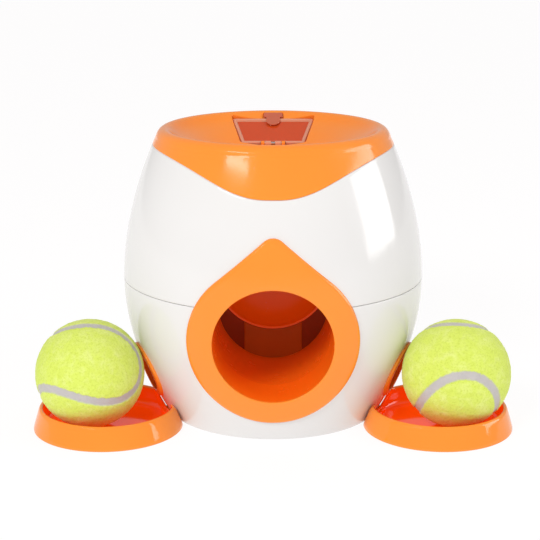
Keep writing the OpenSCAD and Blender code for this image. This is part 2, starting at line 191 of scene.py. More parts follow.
def bevel(ob, width, segments=3, angle=40):
    tidy(ob, 30)
    m = ob.modifiers.new("round", "BEVEL")
    m.width, m.segments, m.limit_method, m.angle_limit = width*MM, segments, "ANGLE", math.radians(angle)
    m.harden_normals = False
    m.use_clamp_overlap = True
    bpy.context.view_layer.update()
    me = bpy.data.meshes.new_from_object(ob.evaluated_get(bpy.context.evaluated_depsgraph_get()))
    old = ob.data
    ob.modifiers.clear()
    ob.data = me
    bpy.data.meshes.remove(old)
    return ob


def join(a, b):
    """Adds b's mesh to a."""
    bm = bmesh.new()
    bm.from_mesh(a.data)
    bm.from_mesh(b.data)
    bm.to_mesh(a.data)
    bm.free()
    drop(b)
    return a


def mirrored(ob, name):
    """A copy mirrored in X, faces turned back outward."""
    me = ob.data.copy()
    me.name = name
    me.transform(Matrix.Diagonal((-1, 1, 1, 1)))
    me.flip_normals()
    o = bpy.data.objects.new(name, me)
    bpy.context.scene.collection.objects.link(o)
    return o


def resample(poly, n):
    """n points evenly spaced along a closed outline."""
    p = np.asarray(poly, float)
    q = np.vstack([p, p[:1]])
    s = np.r_[0, np.cumsum(np.linalg.norm(np.diff(q, axis=0), axis=1))]
    u = np.linspace(0, s[-1], n, endpoint=False)
    return np.stack([np.interp(u, s, q[:, 0]), np.interp(u, s, q[:, 1])], -1)


def arc(cx, cy, r, a0, a1, n):
    a = np.radians(np.linspace(a0, a1, n))
    return np.stack([cx + r*np.cos(a), cy + r*np.sin(a)], -1)


def rounded(points, radius, n=7):
    """A convex polygon with rounded corners; radius is one number or one for each corner."""
    p = np.asarray(points, float)
    rs = radius if hasattr(radius, "__len__") else [radius]*len(p)
    out = []
    for i in range(len(p)):
        a, b, c = p[i - 1], p[i], p[(i + 1) % len(p)]
        u, w = (a - b)/np.linalg.norm(a - b), (c - b)/np.linalg.norm(c - b)
        half = 0.5*math.acos(np.clip(u @ w, -1, 1))
        d = rs[i]/math.tan(half)
        k = b + (u + w)/np.linalg.norm(u + w)*rs[i]/math.sin(half)
        s, e = b + u*d - k, b + w*d - k
        a0, a1 = math.atan2(s[1], s[0]), math.atan2(e[1], e[0])
        da = (a1 - a0 + math.pi) % TAU - math.pi
        for t in np.linspace(0, 1, n):
            out.append(k + rs[i]*np.array([math.cos(a0 + da*t), math.sin(a0 + da*t)]))
    return np.array(out)


def put(ob, body, slot, mat, *nodes):
    ob.data.materials.clear()
    ob.data.materials.append(mat)
    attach(ob, body)
    if nodes:
        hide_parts(*nodes)
    return ob


# ---------------------------------------------------------------- materials

def material(name, **inputs):
    m = bpy.data.materials.new(name)
    m.use_nodes = True
    nt = m.node_tree
    b = nt.nodes["Principled BSDF"]
    for k, v in inputs.items():
        key = k.replace("_", " ")
        b.inputs[key].default_value = (*v, 1.0) if isinstance(v, tuple) and len(v) == 3 and b.inputs[key].type == "RGBA" else v
    return m, nt, b


def coords(nt):
    t = nt.nodes.new("ShaderNodeTexCoord")
    return t.outputs["Object"]


def noise_node(nt, vec, scale, detail=3.0, rough=0.5, dist=0.0):
    n = nt.nodes.new("ShaderNodeTexNoise")
    n.inputs["Scale"].default_value, n.inputs["Detail"].default_value = scale, detail
    n.inputs["Roughness"].default_value, n.inputs["Distortion"].default_value = rough, dist
    nt.links.new(vec, n.inputs["Vector"])
    return n.outputs["Fac"]


def ramp(nt, fac, stops):
    r = nt.nodes.new("ShaderNodeValToRGB")
    e = r.color_ramp.elements
    while len(e) < len(stops):
        e.new(0.5)
    for el, (p, c) in zip(e, stops):
        el.position, el.color = p, (*c, 1.0)
    nt.links.new(fac, r.inputs["Fac"])
    return r.outputs["Color"]


def spread(nt, fac, lo, hi, a=0.0, b=1.0):
    m = nt.nodes.new("ShaderNodeMapRange")
    m.inputs["From Min"].default_value, m.inputs["From Max"].default_value = a, b
    m.inputs["To Min"].default_value, m.inputs["To Max"].default_value = lo, hi
    nt.links.new(fac, m.inputs["Value"])
    return m.outputs["Result"]


def bump(nt, b, height, strength, distance):
    n = nt.nodes.new("ShaderNodeBump")
    n.inputs["Strength"].default_value, n.inputs["Distance"].default_value = strength, distance
    nt.links.new(height, n.inputs["Height"])
    nt.links.new(n.outputs["Normal"], b.inputs["Normal"])
    return n


def mixed(nt, fac, a, b):
    m = nt.nodes.new("ShaderNodeMix")
    m.data_type = "RGBA"
    for sock, v in ((m.inputs[0], fac), (m.inputs[6], a), (m.inputs[7], b)):
        if isinstance(v, bpy.types.NodeSocket):
            nt.links.new(v, sock)
        elif isinstance(v, tuple):
            sock.default_value = (*v, 1.0)
        else:
            sock.default_value = v
    return m.outputs[2]


def moulded(name, colour, dark, rough=(0.16, 0.24), grain=0.02, sss=0.0, scale=14, ior=1.5, spec=0.5, inside=None, painted_glow=0.0):
    """Gloss moulded plastic: slow colour flow, fine orange peel and uneven polish. Painted light: an optional even
    emission makes the part glow, and an optional inner colour over a vertex mask paints a deeper red and a glow where
    light would bounce and shine through the plastic.
    """
    m, nt, b = material(name, Roughness=rough[0], IOR=ior)
    if sss:
        b.inputs["Subsurface Weight"].default_value = sss
        b.inputs["Subsurface Radius"].default_value = (1.0, 0.45, 0.2)
        b.inputs["Subsurface Scale"].default_value = 0.002
    b.inputs["Specular IOR Level"].default_value = spec
    # painted light: an even emission makes the plastic glow with no lamp
    if painted_glow:
        b.inputs["Emission Color"].default_value = (1.0, 0.11, 0.0, 1)
        b.inputs["Emission Strength"].default_value = painted_glow
    v = coords(nt)
    slow = noise_node(nt, v, scale, 3, 0.55)
    col = ramp(nt, slow, [(0.32, dark), (0.68, colour)])
    # painted light: where the vertex mask is set the colour turns deeper red and the plastic emits, standing in for
    # bounced light and light through the plastic
    if inside:
        a = nt.nodes.new("ShaderNodeAttribute")
        a.attribute_name = "inside"
        col = mixed(nt, a.outputs["Fac"], col, inside)
        b.inputs["Emission Color"].default_value = (1.0, 0.07, 0.0, 1)
        nt.links.new(spread(nt, a.outputs["Fac"], 0.0, 0.22), b.inputs["Emission Strength"])
    nt.links.new(col, b.inputs["Base Color"])
    fine = noise_node(nt, v, 420, 2, 0.5)
    nt.links.new(spread(nt, noise_node(nt, v, 55, 4, 0.6), rough[0], rough[1], 0.35, 0.65), b.inputs["Roughness"])
    bump(nt, b, fine, grain, 0.0004)
    return m


ORANGE = moulded("orange_gloss", (0.99, 0.290, 0.030), (0.975, 0.276, 0.026), (0.12, 0.18), 0.012, sss=0.05, spec=0.4)
# painted light: inner parts get a deeper red than the outer orange and a faint glow, standing in for bounced light and
# light through the plastic
ORANGE_IN_PAINTED_LIGHT = moulded("orange_inner_painted_light", (0.98, 0.19, 0.008), (0.96, 0.175, 0.006), (0.22, 0.28), 0.004, spec=0.25, painted_glow=0.09)
# painted light: the tray's inner faces are painted deeper red and glow, through a vertex mask
ORANGE_TRAY = moulded("orange_tray", (0.99, 0.290, 0.030), (0.975, 0.276, 0.026), (0.06, 0.1), 0.006, spec=0.4, inside=(0.98, 0.10, 0.002))
WHITE = moulded("white_gloss", (0.80, 0.785, 0.77), (0.785, 0.77, 0.755), (0.1, 0.16), 0.01)
WHITE_IN = moulded("white_satin", (0.72, 0.71, 0.69), (0.70, 0.69, 0.67), (0.35, 0.45), 0.05)
NYLON = moulded("grey_nylon", (0.55, 0.55, 0.53), (0.50, 0.50, 0.48), (0.42, 0.55), 0.08, scale=30)
RUBBER = moulded("dark_rubber", (0.035, 0.035, 0.036), (0.022, 0.022, 0.023), (0.55, 0.7), 0.25, scale=60)
# painted shade and light: one brown rubber in two copies, a darker one for the bumper's sides and a lighter one for its
# centre panel
BROWN_PAINTED_SHADE = moulded("brown_rubber", (0.31, 0.070, 0.003), (0.27, 0.058, 0.003), (0.35, 0.45), 0.06, scale=30, spec=0.25)
BROWN_PAINTED_LIGHT = moulded("brown_rubber_painted_light", (0.53, 0.19, 0.012), (0.47, 0.165, 0.010), (0.35, 0.45), 0.06, scale=30, spec=0.25)
CORE = moulded("ball_rubber", (0.09, 0.09, 0.095), (0.06, 0.06, 0.065), (0.6, 0.75), 0.2, scale=80)


def turned(name, colour, dark):
    """Turned or ground metal: fine rings round the axis and slight staining."""
    m, nt, b = material(name, Metallic=1.0, Roughness=0.25)
    v = coords(nt)
    w = nt.nodes.new("ShaderNodeTexWave")
    w.wave_type, w.bands_direction = "BANDS", "Y"
    w.inputs["Scale"].default_value, w.inputs["Distortion"].default_value, w.inputs["Detail"].default_value = 900, 1.5, 2
    nt.links.new(v, w.inputs["Vector"])
    nt.links.new(ramp(nt, noise_node(nt, v, 90, 4), [(0.3, dark), (0.7, colour)]), b.inputs["Base Color"])
    nt.links.new(spread(nt, noise_node(nt, v, 200, 3), 0.2, 0.38), b.inputs["Roughness"])
    bump(nt, b, w.outputs["Fac"], 0.08, 0.0002)
    return m


STEEL = turned("turned_steel", (0.66, 0.66, 0.68), (0.52, 0.52, 0.55))
DARK_STEEL = turned("spring_steel", (0.30, 0.30, 0.32), (0.2, 0.2, 0.22))
BRASS = turned("turned_brass", (0.80, 0.58, 0.26), (0.62, 0.42, 0.17))


def clear(name, tint, weight):
    m, nt, b = material(name, Roughness=0.04, IOR=1.49, Transmission_Weight=weight, Specular_IOR_Level=0.4)
    v = coords(nt)
    nt.links.new(ramp(nt, noise_node(nt, v, 60, 3), [(0.3, tuple(0.97*c for c in tint)), (0.7, tint)]), b.inputs["Base Color"])
    bump(nt, b, noise_node(nt, v, 260, 2), 0.03, 0.0003)
    return m


CLEAR = clear("clear_panel", (0.80, 0.095, 0.016), 0.3)
# painted highlight: the door's raised rim is a lighter pink copy of the same clear plastic
CLEAR_RIM_PAINTED_HIGHLIGHT = clear("clear_rim_painted_highlight", (1.0, 0.47, 0.30), 0.35)
# painted shade: the latch tab is a darker, less clear copy of the same plastic
CLEAR_TAB_PAINTED_SHADE = clear("clear_tab_painted_shade", (0.72, 0.17, 0.085), 0.25)


def felt_material():
    m, nt, b = material("napped_felt", Roughness=0.92, IOR=1.35, Sheen_Weight=0.35, Sheen_Roughness=0.45,
                        Sheen_Tint=(0.93, 1.0, 0.62), Specular_IOR_Level=0.15)
    v = coords(nt)
    a = nt.nodes.new("ShaderNodeAttribute")
    a.attribute_name = "seam"
    fuzz = noise_node(nt, v, 900, 4, 0.65, 0.4)
    clump = noise_node(nt, v, 160, 4, 0.6, 0.5)
    slow = noise_node(nt, v, 38, 3, 0.5)
    felt = mixed(nt, slow, (0.70, 0.83, 0.12), (0.76, 0.88, 0.17))
    felt = mixed(nt, spread(nt, clump, 0.0, 0.6, 0.45, 0.7), felt, (0.86, 0.93, 0.34))
    # painted shade: the felt turns darker where the fine fuzz bump is low, in the hollows of the nap
    felt = mixed(nt, spread(nt, fuzz, 0.55, 0.0, 0.34, 0.52), felt, (0.55, 0.66, 0.06))
    glue = mixed(nt, noise_node(nt, v, 220, 3), (0.50, 0.47, 0.46), (0.62, 0.58, 0.57))
    nt.links.new(mixed(nt, a.outputs["Fac"], felt, glue), b.inputs["Base Color"])
    add = nt.nodes.new("ShaderNodeMath")
    add.operation = "ADD"
    nt.links.new(fuzz, add.inputs[0])
    nt.links.new(clump, add.inputs[1])
    bump(nt, b, add.outputs[0], 0.55, 0.0009)
    return m


FELT = felt_material()

# ---------------------------------------------------------------- casing shells

NU = 400
PHI = np.linspace(0, TAU, NU, endpoint=False)
HOLE_Z, HOLE_R = 63.5, 34.7
OUT_A, OUT_R, OUT_Z = math.radians(-19.4), 13.0, 31.5


def ring(o, z):
    """A ring on the casing's form, pushed out by o, at height z (a number or one for each direction)."""
    z = np.broadcast_to(np.asarray(z, float), PHI.shape)
    r = R(z) + o
    return np.stack([r*np.cos(PHI), r*np.sin(PHI), z], -1)


def casing(name, z0, z1, wall, rb, rt, rows):
    rings = []
    for a in np.radians(np.linspace(-90, 0, 5)):
        rings.append(ring(-rb + rb*math.cos(a), z0 + rb + rb*math.sin(a)))
    for t in np.linspace(0, 1, rows)[1:-1]:
        rings.append(ring(0, (z0 + rb)*(1 - t) + (z1 - rt)*t))
    for a in np.radians(np.linspace(0, 90, 5)):
        rings.append(ring(-rt + rt*math.cos(a), z1 - rt + rt*math.sin(a)))
    for t in np.linspace(0, 1, 24):
        rings.append(ring(-wall, z1*(1 - t) + z0*t))
    return skin(name, rings, "wrap")


def along_y(p, y):
    return np.stack([p[:, 0], np.full(len(p), float(y)), p[:, 1]], -1)


def along_outlet(p, d):
    """A point of the outlet's own frame: across, height, and the distance d out along its axis."""
    c, sn = math.cos(OUT_A), math.sin(OUT_A)
    return np.stack([d*c - p[:, 0]*sn, d*sn + p[:, 0]*c, p[:, 1]], -1)


def cut_hole(ob):
    return boolean(ob, prism("cut", arc(0, HOLE_Z, 36.8, 0, 360, 181)[:-1], -110, -20, along_y))


lower = cut_hole(casing("lower_shell_skin", 0.6, 85.15, 2.4, 0.55, 0.4, 60))
for s in (1, -1):
    rows = np.array([along_outlet(arc(0, OUT_Z, OUT_R + 1.2, 0, 360, 145)[:-1], d) for d in (40.0, 110.0)])
    rows[..., 0] *= s
    boolean(lower, skin("cut", rows, "fan"))
TRAY_U = math.atan2(-40.2, 99.2)
for s in (1, -1):
    u = TRAY_U if s > 0 else math.pi - TRAY_U
    c, sn = math.cos(u), math.sin(u)
    box = rounded([(60, -10.5), (76, -10.5), (76, 10.5), (60, 10.5)], 0.6, 4)
    boolean(lower, prism("cut", box, 2.1, 4.7, lambda p, z: np.stack(
        [p[:, 0]*c - p[:, 1]*sn, p[:, 0]*sn + p[:, 1]*c, np.full(len(p), float(z))], -1)))
tidy(lower, 35)
put(lower, "chassis", "white_plastic", WHITE, "lower_shell")

ZB = border_z(PHI)
upper = cut_hole(casing("upper_shell_skin", 85.45, ZB - 0.12, 2.4, 0.4, 0.7, 56))
tidy(upper, 35)
put(upper, "chassis", "white_plastic", WHITE, "upper_shell")

# ---------------------------------------------------------------- top cap

rings = []
dish_rows = spline(DISH, 150, start=1, end=13)
for r, z in dish_rows[1:]:
    rings.append(np.stack([r*np.cos(PHI), r*np.sin(PHI), np.full(NU, z)], -1))
for t in np.linspace(0, 1, 22)[1:]:
    rings.append(ring(0, 170*(1 - t) + (ZB + 0.3)*t))
for a in np.radians(np.linspace(0, 90, 5))[1:]:
    rings.append(ring(-0.3 + 0.3*math.cos(a), ZB + 0.3 - 0.3*math.sin(a)))
for t in np.linspace(0, 1, 10):
    rings.append(ring(-2.4, ZB*(1 - t) + 168.5*t))
rings.append(np.stack([66*np.cos(PHI), 66*np.sin(PHI), np.full(NU, 171.0)], -1))
rings.append(np.stack([62.5*np.cos(PHI), 62.5*np.sin(PHI), np.full(NU, 171.3)], -1))
for r, z in dish_rows[::-6]:
    if 1 < r < 60 and z < 172:
        rings.append(np.stack([r*np.cos(PHI), r*np.sin(PHI), np.full(NU, z - 2.4)], -1))
cap = skin("top_cap_skin", rings, "fan")

DA = math.radians(29.3)


def door3(x, v, w):
    """The door's own frame: x across, v up the slope, w out of it."""
    x, v, w = np.broadcast_arrays(np.asarray(x, float), v, w)
    return np.stack([x, 36 + v*math.cos(DA) - w*math.sin(DA), 158.6 + v*math.sin(DA) + w*math.cos(DA)], -1)


def door_hw(v):
    return 19.5 + 6.5*v/25


def surface_w(x, v):
    """Height of the dish over the door's plane."""
    lo, hi = np.full(np.shape(x), -6.0), np.full(np.shape(x), 12.0)
    for _ in range(40):
        mid = 0.5*(lo + hi)
        p = door3(x, v, mid)
        below = p[..., 2] < dish_z(np.hypot(p[..., 0], p[..., 1]))
        lo, hi = np.where(below, mid, lo), np.where(below, hi, mid)
    return 0.5*(lo + hi)


def grown(poly, d):
    """A closed counter-clockwise outline pushed outward by d."""
    p = np.asarray(poly, float)
    t = np.roll(p, -1, 0) - np.roll(p, 1, 0)
    n = np.stack([t[:, 1], -t[:, 0]], -1)
    return p + d*n/np.linalg.norm(n, axis=1)[:, None]


def trapezoid(d, v0, v1, radius, n=260):
    return resample(rounded([(-door_hw(v0) - d, v0), (door_hw(v0) + d, v0), (door_hw(v1) + d, v1), (-door_hw(v1) - d, v1)], radius, 8), n)


def flared(name, outline, floor_w, soft=0.8):
    """A cutter that sinks from the dish down to floor_w with a rounded mouth."""
    rows = [door3(outline[:, 0], outline[:, 1], floor_w)]
    for d, e in ((0.0, soft), (0.06*soft, 0.62*soft), (0.2*soft, 0.33*soft), (0.45*soft, 0.12*soft), (0.8*soft, 0.015*soft), (1.15*soft, -0.05)):
        g = grown(outline, d)
        rows.append(door3(g[:, 0], g[:, 1], np.maximum(surface_w(g[:, 0], g[:, 1]) - e, floor_w + 0.02)))
    g = grown(outline, 1.3*soft)
    rows.append(door3(g[:, 0], g[:, 1], surface_w(g[:, 0], g[:, 1]) + 1.5))
    rows.append(door3(g[:, 0], g[:, 1], 16.0))
    return skin(name, rows, "fan")


# the pocket's frame under the dish
frame_block = skin("frame", [door3(*trapezoid(2.2, -2.6, 27.6, 1.5).T, w) for w in (-3.2, -1.6, 0.0)]
                   + [door3(*trapezoid(2.2, -2.6, 27.6, 1.5).T, surface_w(*trapezoid(2.2, -2.6, 27.6, 1.5).T) - 0.7)], "fan")
boolean(cap, frame_block, "UNION")
pocket = resample(rounded([(-20.3, -0.6), (20.3, -0.6), (26.5, 25.4), (-26.5, 25.4)], 1.2, 8), 260)
boolean(cap, flared("pocket", pocket, -1.1))
boolean(cap, flared("notch", resample(rounded([(-6.4, 24), (6.4, 24), (6.4, 31), (-6.4, 31)], 1.0, 6), 160), -0.3, 0.55))
boolean(cap, skin("hole", [door3(*trapezoid(-2.2, 3, 23, 1.5).T, w) for w in (-14, 3)], "fan"))
hb = rounded([(-5.2, -2.1), (5.2, -2.1), (5.2, 1.0), (-5.2, 1.0)], 0.5, 4)
boolean(cap, skin("hinge_room", [door3(hb[:, 0], hb[:, 1], w) for w in (-1.1, 6)], "fan"))


def hinge_ring(r, x, n=40):
    a = np.linspace(0, TAU, n, endpoint=False)
    return door3(np.full(n, float(x)), r*np.cos(a), 0.9 + r*np.sin(a))


def hinge_barrel(name, x0, x1, r, chamfer=0.25):
    return skin(name, [hinge_ring(r - chamfer, x0), hinge_ring(r - 0.3*chamfer, x0 + 0.3*chamfer), hinge_ring(r, x0 + chamfer), hinge_ring(r, x1 - chamfer),
                       hinge_ring(r - 0.3*chamfer, x1 - 0.3*chamfer), hinge_ring(r - chamfer, x1)], "fan")


# each lug and its web is a closed shell of its own whose foot is buried in the cap
for s in (-1, 1):
    x0, x1 = (5.3, 7.5) if s > 0 else (-7.5, -5.3)
    lug = boolean(hinge_barrel("lug", x0, x1, 1.5), hinge_barrel("bore", x0 - 1, x1 + 1, 0.78, 0.02))
    sq = np.array([(x0 + 0.06, -1.42), (x1 - 0.06, -1.42), (x1 - 0.06, -0.86), (x0 + 0.06, -0.86)])
    join(cap, lug)
    join(cap, skin("web", [door3(sq[:, 0], sq[:, 1], w) for w in (-2.2, 0.9)], "fan"))
tidy(cap, 38)
put(cap, "chassis", "orange_plastic", ORANGE, "top_cap")

# ---------------------------------------------------------------- hopper door and latch tab

DOOR_V0, DOOR_V1 = 0.45, 25.0


def door_outline(d, n=260):
    return trapezoid(d, DOOR_V0 - d, DOOR_V1 + d, max(0.4, 1.3 + d), n)


rows = []
for d, w in ((-1.6, -0.8), (-0.35, -0.8), (-0.1, -0.7), (0, -0.45), (0, 0.45), (-0.08, 0.75), (-0.28, 0.96), (-0.6, 1.05), (-1.3, 1.05),
             (-1.75, 0.98), (-2.0, 0.78), (-2.12, 0.5), (-2.2, 0.25), (-2.45, 0.12), (-3.2, 0.1)):
    o = door_outline(d)
    rows.append(door3(o[:, 0], o[:, 1], w))
door = skin("hopper_door_skin", rows, "fan", 40)
for x0, x1 in ((-7.8, -5.05), (-1.15, 1.15), (5.05, 7.8)):
    nb = rounded([(x0, -3), (x1, -3), (x1, 1.9), (x0, 1.9)], 0.5, 5)
    boolean(door, skin("cut", [door3(nb[:, 0], nb[:, 1], w) for w in (-3, 4)], "fan"))
for x in (-5, 1.2):
    boolean(door, hinge_barrel("knuckle", x, x + 3.8, 1.5), "UNION")
boolean(door, hinge_barrel("bore", -8, 8, 0.84, 0.02))
tidy(door, 40)
put(door, "door", "clear_plastic", CLEAR, "hopper_door")
door.data.materials.append(CLEAR_RIM_PAINTED_HIGHLIGHT)
# painted highlight: the rim faces, raised over the panel or along the hinge edge, take the lighter pink
for f in door.data.polygons:
    x, y, z = (c/MM for c in f.center)
    v, w = (y - 36)*math.cos(DA) + (z - 158.6)*math.sin(DA), -(y - 36)*math.sin(DA) + (z - 158.6)*math.cos(DA)
    if w > 0.16 or v < 2.4:
        f.material_index = 1


def slab(name, outline, w0, w1, rnd):
    """A flat tab with rounded edges."""
    rows = [door3(*grown(outline, -2*rnd).T, w0)]
    for a in np.radians([-90, -60, -30, 0]):
        rows.append(door3(*grown(outline, -rnd + rnd*math.cos(a)).T, w0 + rnd + rnd*math.sin(a)))
    for a in np.radians([0, 30, 60, 90]):
        rows.append(door3(*grown(outline, -rnd + rnd*math.cos(a)).T, w1 - rnd + rnd*math.sin(a)))
    rows.append(door3(*grown(outline, -2*rnd).T, w1))
    return skin(name, rows, "fan", 40)


stem = rounded([(-4.4, 17.8), (4.4, 17.8), (4.4, 27.5), (-4.4, 27.5)], [4.3, 4.3, 0.9, 0.9], 12)
latch = slab("door_latch_skin", resample(stem, 150), 0.85, 1.75, 0.3)
bar = resample(rounded([(-6, 25.7), (6, 25.7), (6, 30), (-6, 30)], 0.9, 6), 150)
boolean(latch, slab("bar", bar, 0.25, 1.85, 0.35), "UNION")
tidy(latch, 40)
put(latch, "door", "clear_plastic", CLEAR_TAB_PAINTED_SHADE, "door_latch")

# ---------------------------------------------------------------- front trim and inlet collar


def tear(r, zc, rt, zt):
    a = math.degrees(math.asin((r - rt)/(zt - zc)))
    return np.vstack([arc(0, zc, r, 180 - a, 360 + a, 400), arc(0, zt, rt, a, 180 - a, 60)])


def trim_rings(inner, outer, place, proud, back, flange, fillet, edge):
    """Rings of a trim between two matched outlines: place(p, offset) sets a point on the casing's form at an offset."""
    L = np.linalg.norm(outer - inner, axis=1)
    u = (outer - inner)/L[:, None]

    def at(a, o):
        return place(inner + u*np.broadcast_to(a, L.shape)[:, None], o)
    rows = [at(0.0, t) for t in np.linspace(back, proud - fillet, 5)]
    for a in np.radians(np.linspace(0, 90, 6))[1:]:
        rows.append(at(fillet*(1 - math.cos(a)), proud - fillet + fillet*math.sin(a)))
    for t in np.linspace(0, 1, 14)[1:-1]:
        rows.append(at(fillet + (L - fillet - edge)*t, proud))
    for a in np.radians(np.linspace(0, 90, 8)):
        rows.append(at(L - edge + edge*math.sin(a), proud - edge + edge*math.cos(a)))
    rows.append(at(L, 0.0))
    rows.append(at(L - 0.05, -0.35))
    rows.append(at(L - 0.6, -0.4))
    rows.append(at(flange + (L - flange)*0.5, -0.4))
    rows.append(at(flange + 0.3, -0.4))
    rows.append(at(flange, -0.45))
    if flange:
        rows.append(at(flange, back + 0.3))
        rows.append(at(flange - 0.2, back))
    return rows


def place_front(p, o):
    return np.stack([p[:, 0], -np.sqrt(np.clip((R(p[:, 1]) + o)**2 - p[:, 0]**2, 0, None)), p[:, 1]], -1)


outer = resample(tear(49.8, HOLE_Z, 8.0, 118.8), 480)
d = outer - np.array([0, HOLE_Z])
inner = np.array([0, HOLE_Z]) + HOLE_R*d/np.linalg.norm(d, axis=1)[:, None]
trim = skin("front_trim_skin", trim_rings(inner, outer, place_front, 1.8, -0.3, 0.0, 0.9, 1.6), "wrap", 50)
put(trim, "chassis", "orange_plastic", ORANGE, "front_trim")

th = np.linspace(0, TAU, 256, endpoint=False)


def hole_ring(r, y):
    return np.stack([r*np.cos(th), np.broadcast_to(y, th.shape), HOLE_Z + r*np.sin(th)], -1)


def on_casing(r, o):
    z = HOLE_Z + r*np.sin(th)
    return -np.sqrt((R(z) + o)**2 - (r*np.cos(th))**2)


rows = []
y0, y1 = on_casing(HOLE_R, -0.32), on_casing(36.7, -0.42)
for t in np.linspace(0, 1, 18)[:-1]:
    rows.append(hole_ring(HOLE_R, y0*(1 - t) + (-47.3)*t))
for a in np.radians(np.linspace(0, 180, 9)):
    rows.append(hole_ring(35.7 - math.cos(a), -47.3 + 0.8*math.sin(a)))
for t in np.linspace(0, 1, 6)[1:]:
    rows.append(hole_ring(36.7, -47.3*(1 - t) + y1*t))
collar = skin("inlet_collar_skin", rows, "wrap", 50)
put(collar, "chassis", "orange_plastic", ORANGE_IN_PAINTED_LIGHT, "inlet_collar")

# ---------------------------------------------------------------- side trims


def place_side(p, o):
    d = np.sqrt(np.clip((R(p[:, 1]) + o)**2 - p[:, 0]**2, 0, None))
    c, sn = math.cos(OUT_A), math.sin(OUT_A)
    return np.stack([d*c - p[:, 0]*sn, d*sn + p[:, 0]*c, p[:, 1]], -1)


outer = arc(0, OUT_Z, OUT_R + 4, 0, 360, 361)[:-1]
inner = arc(0, OUT_Z, OUT_R, 0, 360, 361)[:-1]
side = skin("side_trim_right_skin", trim_rings(inner, outer, place_side, 1.8, -3.2, 1.15, 0.9, 1.2), "wrap", 50)
side_left = mirrored(side, "side_trim_left_skin")
put(side, "chassis", "orange_plastic", ORANGE, "side_trim_right")
put(side_left, "chassis", "orange_plastic", ORANGE, "side_trim_left")

# ---------------------------------------------------------------- rocking cradle and its bumper

CUP_Z = 80.2
TILT = math.radians(87.045)
UPY, UPZ = math.cos(TILT), math.sin(TILT)
BACKY, BACKZ = -math.sin(TILT), math.cos(TILT)


def pipe_ring(h, Y, n=150, m=9):
    """A ring round the chute's wall, half thickness h, cut at the plane y = Y."""
    A = math.radians(109.5)
    a = np.linspace(-A, A, n)
    pts = [(36 - h)*np.stack([np.sin(a), -np.cos(a)], -1)]
    for sgn, base in ((1, A), (-1, -A)):
        if sgn < 0:
            pts.append((36 + h)*np.stack([np.sin(a[::-1]), -np.cos(a[::-1])], -1))
        mid = 36*np.array([math.sin(base), -math.cos(base)])
        rad = np.array([math.sin(base), -math.cos(base)])
        tan = np.array([math.cos(base), math.sin(base)])*sgn
        t = np.linspace(0, math.pi, m + 2)[1:-1]
        if sgn > 0:
            pts.append(mid + h*(-np.cos(t)[:, None]*rad + np.sin(t)[:, None]*tan))
        else:
            pts.append(mid + h*(np.cos(t)[:, None]*rad + np.sin(t)[:, None]*tan))
    p = np.vstack(pts)
    x, ly = p[:, 0], p[:, 1]
    s = (20 + UPY*ly - Y)/(-BACKY)
    return np.stack([x, 20 + UPY*ly + BACKY*s, 59 + UPZ*ly + BACKZ*s], -1)


def chute(name, rings, n=150, m=9):
    """A closed wall through pipe rings, its ends faced between the inner and the outer arc."""
    P = np.asarray(rings, float)
    k, c = P.shape[:2]
    idx = np.arange(k*c).reshape(k, c)
    A, B = idx[:-1], idx[1:]
    faces = np.stack([A, np.roll(A, -1, 1), np.roll(B, -1, 1), B], -1).reshape(-1, 4).tolist()
    last = 2*n + m - 1
    for row in (idx[0].tolist(), idx[-1].tolist()):
        for i in range(n - 1):
            faces.append([row[i], row[i + 1], row[last - i - 1], row[last - i]])
        faces.append(row[n - 1:n + m + 1])
        faces.append(row[last:] + row[:1])
    return tidy(new_object(name, P, faces))


rows = [pipe_ring(0.45, -45.5), pipe_ring(0.62, -45.46), pipe_ring(0.8, -45.34), pipe_ring(0.94, -45.1), pipe_ring(1.0, -44.7)]
rows += [pipe_ring(1.0, y) for y in np.linspace(-40, 18, 20)] + [pipe_ring(1.0, 21.0)]
cradle = chute("ball_cradle_skin", rows)


def drum(name, r, y0, y1, x, z, n=192):
    return lathe(name, [(r*0.5, y0), (r, y0), (r, y1), (r*0.5, y1)], n, (x, z), "fan", "y")


crescent = drum("a", 34.3, 20, 30.2, 0, 56)
boolean(crescent, drum("b", 36, 19, 30, 0, CUP_Z))
cup = drum("c", 36.7, 18.2, 30.08, 0, CUP_Z, 256)
boolean(cup, drum("d", 41.5, 15, 35, 0, 56), "INTERSECT")
boolean(crescent, cup, "UNION")
bowl = spline([(-8, 28.25), (0, 28.4), (8, 28.25), (16, 27.6), (23, 26.4), (28.5, 24.6), (32.5, 22.3), (34.5, 20.2), (35.05, 18.6)], 60, start=1)
bowl = np.vstack([bowl[1:], [(35.35, 18.35), (35.8, 18.1), (35.9, 12), (10, 12)]])
boolean(crescent, lathe("f", bowl, 256, (0, CUP_Z), "fan", "y"))
boolean(cradle, crescent, "UNION")
# the hub on the shaft is a closed tube whose foot is buried in the end wall
join(cradle, boolean(drum("e", 8, 29.8, 35.4, 0, 56, 96), drum("g", 3, 29.0, 37, 0, 56, 64)))
tidy(cradle, 34)
put(cradle, "cradle", "orange_plastic", ORANGE_IN_PAINTED_LIGHT, "ball_cradle")

pad = drum("ball_bumper_skin", 34.6, 18.5, 20, 0, 59.06)
pb = rounded([(-18.3, 20), (18.3, 20), (18.3, 80), (-18.3, 80)], 1.0, 5)
panel = skin("p", [along_y(grown(pb, -0.35), 17.8), along_y(grown(pb, -0.1), 17.9), along_y(pb, 18.15), along_y(pb, 19.6)], "fan")
boolean(panel, drum("q", 34.5, 16, 21, 0, 59.06), "INTERSECT")
boolean(pad, panel, "UNION")
boolean(pad, drum("r", 36.75, 10, 25, 0, CUP_Z, 256))
tidy(pad, 34)
put(pad, "cradle", "brown_rubber", BROWN_PAINTED_SHADE, "ball_bumper")
pad.data.materials.append(BROWN_PAINTED_LIGHT)
